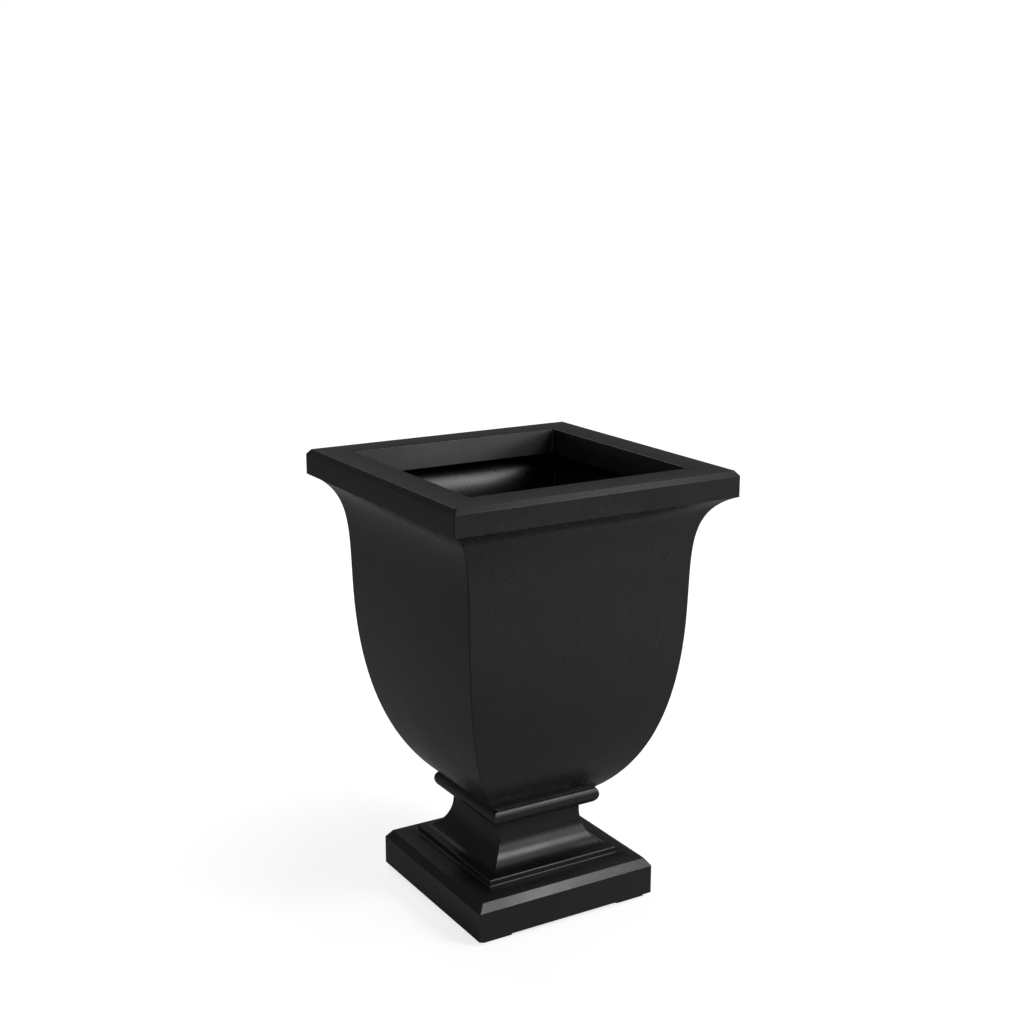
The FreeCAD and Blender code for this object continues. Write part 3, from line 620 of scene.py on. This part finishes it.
def spread(tree, value, low, high, start=0.0, end=1.0):
    """Stretch a 0 to 1 value over a range."""
    node = tree.nodes.new("ShaderNodeMapRange")
    tree.links.new(value, node.inputs["Value"])
    for name, number in (("From Min", start), ("From Max", end), ("To Min", low), ("To Max", high)):
        node.inputs[name].default_value = number
    return node.outputs["Result"]


def mix_colours(tree, amount, first, second):
    node = tree.nodes.new("ShaderNodeMix")
    node.data_type = "RGBA"
    tree.links.new(amount, node.inputs["Factor"])
    for socket, colour in zip((s for s in node.inputs if s.type == "RGBA"), (first, second)):
        if isinstance(colour, bpy.types.NodeSocket):
            tree.links.new(colour, socket)
        else:
            socket.default_value = (*colour, 1)
    return next(s for s in node.outputs if s.type == "RGBA")


def bumped(tree, height, strength, distance, under=None):
    node = add_node(tree, "ShaderNodeBump", Height=height, Strength=strength, Distance=distance)
    if under:
        tree.links.new(under, node.inputs["Normal"])
    return node.outputs["Normal"]


def new_material(name):
    material = bpy.data.materials.new(name)
    material.use_nodes = True
    tree = material.node_tree
    shader = tree.nodes["Principled BSDF"]
    places = tree.nodes.new("ShaderNodeTexCoord").outputs["Object"]
    return material, tree, shader, places


GRAIN_SCALE, WAVE_SCALE, CLOUD_SCALE = 900.0, 7.0, 11.0
EDGE_FROM, EDGE_TO, EDGE_PALER = 0.505, 0.56, 3.0
SMOOTHER, ROUGHER = 0.03, 0.04


def moulded_plastic(name, dark, pale, roughness, gloss):
    """Satin plastic with a fine grain, soft waves and slightly paler edges."""
    material, tree, shader, places = new_material(name)
    grain = noise(tree, places, GRAIN_SCALE, 3.0, 0.6)
    waves = noise(tree, places, WAVE_SCALE, 1.0)
    cloud = noise(tree, places, CLOUD_SCALE, 4.0, 0.55)
    pointed = tree.nodes.new("ShaderNodeNewGeometry").outputs["Pointiness"]
    edges = spread(tree, pointed, 0.0, 1.0, EDGE_FROM, EDGE_TO)
    colour = mix_colours(tree, spread(tree, cloud, 0.0, 1.0, 0.35, 0.65), dark, pale)
    worn = tuple(EDGE_PALER * channel for channel in pale)
    tree.links.new(mix_colours(tree, edges, colour, worn), shader.inputs["Base Color"])
    satin = spread(tree, cloud, roughness - SMOOTHER, roughness + ROUGHER, 0.3, 0.7)
    tree.links.new(satin, shader.inputs["Roughness"])
    shader.inputs["Specular IOR Level"].default_value = gloss
    wavy = bumped(tree, waves, 0.25, 0.002)
    tree.links.new(bumped(tree, grain, 0.10, 0.0001, wavy), shader.inputs["Normal"])
    return material


black_plastic = moulded_plastic(
    "satin_black_plastic", dark=(0.0105, 0.0102, 0.0098), pale=(0.0135, 0.0130, 0.0124),
    roughness=0.27, gloss=0.50)
shelf_plastic = moulded_plastic(
    "shelf_black_plastic", dark=(0.013, 0.013, 0.013), pale=(0.017, 0.017, 0.017),
    roughness=0.5, gloss=0.4)
print("materials:", [material.name for material in bpy.data.materials])


# %% [markdown]
# ## Rubber and zinc-plated steel
#
# The seals, the bung and the feet are matt rubber with a powdery grain. The bolts, washers and
# nuts are steel with a thin bright zinc layer, which is a metal with fine turning marks.

# %% Rubber and steel
DUST = 1.8


def rubber(name, colour):
    """Matt rubber whose colour is powdered with a paler dust."""
    material, tree, shader, places = new_material(name)
    cloud = noise(tree, places, 60.0, 4.0)
    dusty = tuple(channel * DUST for channel in colour)
    tree.links.new(mix_colours(tree, cloud, colour, dusty), shader.inputs["Base Color"])
    tree.links.new(spread(tree, cloud, 0.62, 0.8), shader.inputs["Roughness"])
    shader.inputs["Specular IOR Level"].default_value = 0.3
    tree.links.new(bumped(tree, noise(tree, places, 2500.0), 0.2, 0.00008), shader.inputs["Normal"])
    return material


def zinc_steel(name):
    """Bright zinc on steel, a little duller in places."""
    material, tree, shader, places = new_material(name)
    cloud = noise(tree, places, 120.0, 3.0)
    colour = mix_colours(tree, cloud, (0.56, 0.57, 0.58), (0.70, 0.70, 0.69))
    tree.links.new(colour, shader.inputs["Base Color"])
    tree.links.new(spread(tree, cloud, 0.22, 0.42), shader.inputs["Roughness"])
    shader.inputs["Metallic"].default_value = 1.0
    tree.links.new(bumped(tree, noise(tree, places, 1500.0), 0.15, 0.00005), shader.inputs["Normal"])
    return material


seal_rubber = rubber("matt_black_rubber", (0.016, 0.016, 0.016))
bright_steel = zinc_steel("zinc_plated_steel")


# %% Give each piece its finish
def finish(piece, material):
    """Give a piece this material alone."""
    piece.data.materials.clear()
    piece.data.materials.append(material)


finish(bowl, black_plastic)
finish(pedestal, black_plastic)
finish(soil_shelf, shelf_plastic)
for rubber_piece in (drain_bung, *foot_pads.values()):
    finish(rubber_piece, seal_rubber)
NODE_FINISH = {
    "joint_gasket": seal_rubber,
    "seal_washers": seal_rubber,
    "pedestal_bolts": bright_steel,
    "bolt_washers": bright_steel,
    "deck_washers": bright_steel,
    "lock_nuts": bright_steel,
}
for node, material in NODE_FINISH.items():
    finish(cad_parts[node], material)
print("nodes that keep their shape:", list(NODE_FINISH))

# %% Tie the pieces to the frame
DRESSED = [
    (bowl, "bowl", "planter", "bowl_plastic"),
    (pedestal, "pedestal", "planter", "pedestal_plastic"),
    (soil_shelf, "soil_shelf", "shelf", "shelf_plastic"),
    (drain_bung, "drain_bung", "bung", "bung_rubber"),
]
DRESSED += [(piece, node, "planter", "foot_rubber") for node, piece in foot_pads.items()]
for piece, node, body, slot in DRESSED:
    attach(piece, body)
    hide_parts(node)
print("nodes with a new shape:", [node for _, node, _, _ in DRESSED])

# %% [markdown]
# ## A white room without grey plastic
#
# The picture's background is pure white, but black plastic only looks black in a dim room. The
# Light Path node tells the rays apart: rays from the camera, and rays that pass through a clear
# thing, see white, while the light on the object and the reflections in its satin faces come
# from a dim room. The white is added to the paper's own shading, so that the shadow stays.

# %% Tell apart the rays that see the background
ROOM = 0.095
ROOM_IN_GLOSS = 0.095
FLOOR_IN_GLOSS = 0.0
FLOOR_NEAR, FLOOR_FAR = 0.78, 1.0


def maths(tree, operation, first, second):
    node = tree.nodes.new("ShaderNodeMath")
    node.operation = operation
    for socket, value in zip(node.inputs, (first, second)):
        if isinstance(value, bpy.types.NodeSocket):
            tree.links.new(value, socket)
        else:
            socket.default_value = value
    return node.outputs[0]


def for_rays(tree, seen, in_gloss, otherwise):
    """One strength for camera and transmission rays, one for glossy rays, one for the rest."""
    path = tree.nodes.new("ShaderNodeLightPath").outputs
    clear = maths(tree, "MAXIMUM", path["Is Camera Ray"], path["Is Transmission Ray"])
    glossy = maths(tree, "MULTIPLY", path["Is Glossy Ray"], in_gloss - otherwise)
    added = maths(tree, "MULTIPLY", clear, maths(tree, "SUBTRACT", seen, otherwise))
    return maths(tree, "ADD", maths(tree, "ADD", otherwise, glossy), added)


# %% Floor
FLOOR_SIZE, PAPER_COLOUR = 60, (0.80, 0.80, 0.80, 1)
FADE_START, FADE_END = 0.35, 1.1

start_fresh()
bpy.ops.mesh.primitive_plane_add(size=FLOOR_SIZE, location=(0, 0, 0))
floor = bpy.context.active_object
floor.name = "studio_floor"
floor_material = bpy.data.materials.new("white_paper")
floor_material.use_nodes = True
tree = floor_material.node_tree
tree.nodes.clear()
output = tree.nodes.new("ShaderNodeOutputMaterial")
paper = add_node(tree, "ShaderNodeBsdfDiffuse", Color=PAPER_COLOUR)
places = tree.nodes.new("ShaderNodeTexCoord").outputs["Object"]
from_middle = tree.nodes.new("ShaderNodeVectorMath")
from_middle.operation = "LENGTH"
tree.links.new(places, from_middle.inputs[0])
whiteness = spread(tree, from_middle.outputs["Value"], FLOOR_NEAR, FLOOR_FAR, FADE_START, FADE_END)
strength = for_rays(tree, whiteness, FLOOR_IN_GLOSS, 0.0)
glow = add_node(tree, "ShaderNodeEmission", Color=(1, 1, 1, 1), Strength=strength)
both = tree.nodes.new("ShaderNodeAddShader")
tree.links.new(paper.outputs[0], both.inputs[0])
tree.links.new(glow.outputs[0], both.inputs[1])
tree.links.new(both.outputs[0], output.inputs["Surface"])
floor.data.materials.append(floor_material)
print("floor", FLOOR_SIZE, "m wide")

# %% World
world = bpy.data.worlds.new("studio")
bpy.context.scene.world = world
world.use_nodes = True
tree = world.node_tree
tree.nodes.clear()
output = tree.nodes.new("ShaderNodeOutputWorld")
strength = for_rays(tree, 1.0, ROOM_IN_GLOSS, ROOM)
room = add_node(tree, "ShaderNodeBackground", Color=(1, 1, 1, 1), Strength=strength)
tree.links.new(room.outputs[0], output.inputs["Surface"])


# %% [markdown]
# ## Soft boxes
#
# The main light comes from the right of the front, about 30 degrees up. Satin plastic mirrors a
# blurred picture of each lamp, so the lamp's form shows in the highlights of the cove, the bead,
# the bevels and the hollow curve: small bright boxes in the middle and a wide dim one around
# them give a highlight with a bright middle and a soft fall-off. A low box reaches the faces
# that lean down, and boxes on the left and behind draw the left face and the top of the rim.

# %% Lamps
AIM, AWAY = Vector((0, 0, 0.4)), 2.6


def soft_box(name, turn, lift, width, height, power):
    """A lamp that aims at the planter from so many degrees right of the front, and up."""
    turn, lift = math.radians(turn), math.radians(lift)
    place = Vector((math.sin(turn) * math.cos(lift), -math.cos(turn) * math.cos(lift), math.sin(lift)))
    lamp = bpy.data.lights.new(name, "AREA")
    lamp.shape = "RECTANGLE"
    lamp.size, lamp.size_y = width, height
    lamp.energy = power
    holder = bpy.data.objects.new(name, lamp)
    holder.location = AIM + AWAY * place
    holder.rotation_euler = (-place).to_track_quat("-Z", "Y").to_euler()
    holder.visible_camera = False
    bpy.context.scene.collection.objects.link(holder)
    print("lamp", name, power, "W")


soft_box("key_core", 31, 31, 0.5, 0.6, 7.0)
soft_box("key_core_high", 31, 41, 0.5, 0.6, 2.7)
soft_box("key_core_right", 40, 31, 0.5, 0.6, 2.2)
soft_box("key_wide", 31, 30, 1.2, 2.0, 2.7)
soft_box("low_front", 31, 10, 0.9, 0.6, 3.6)
soft_box("high_right", 60, 55, 0.8, 0.8, 3.8)
soft_box("left_panel", -90, 38, 0.9, 2.0, 1.0)
soft_box("back_panel", 180, 50, 0.9, 1.4, 7.6)

# %% Camera
camera_data = bpy.data.cameras.new("camera")
camera_data.lens = 54.97
camera_data.sensor_width = 36.0
camera = bpy.data.objects.new("camera", camera_data)
camera.location = (-1.2485, -2.0683, 1.2246)
camera.rotation_euler = (math.radians(76.376), 0, math.radians(-30.973))
bpy.context.scene.collection.objects.link(camera)
bpy.context.scene.camera = camera
bpy.context.scene.view_settings.view_transform = "Standard"
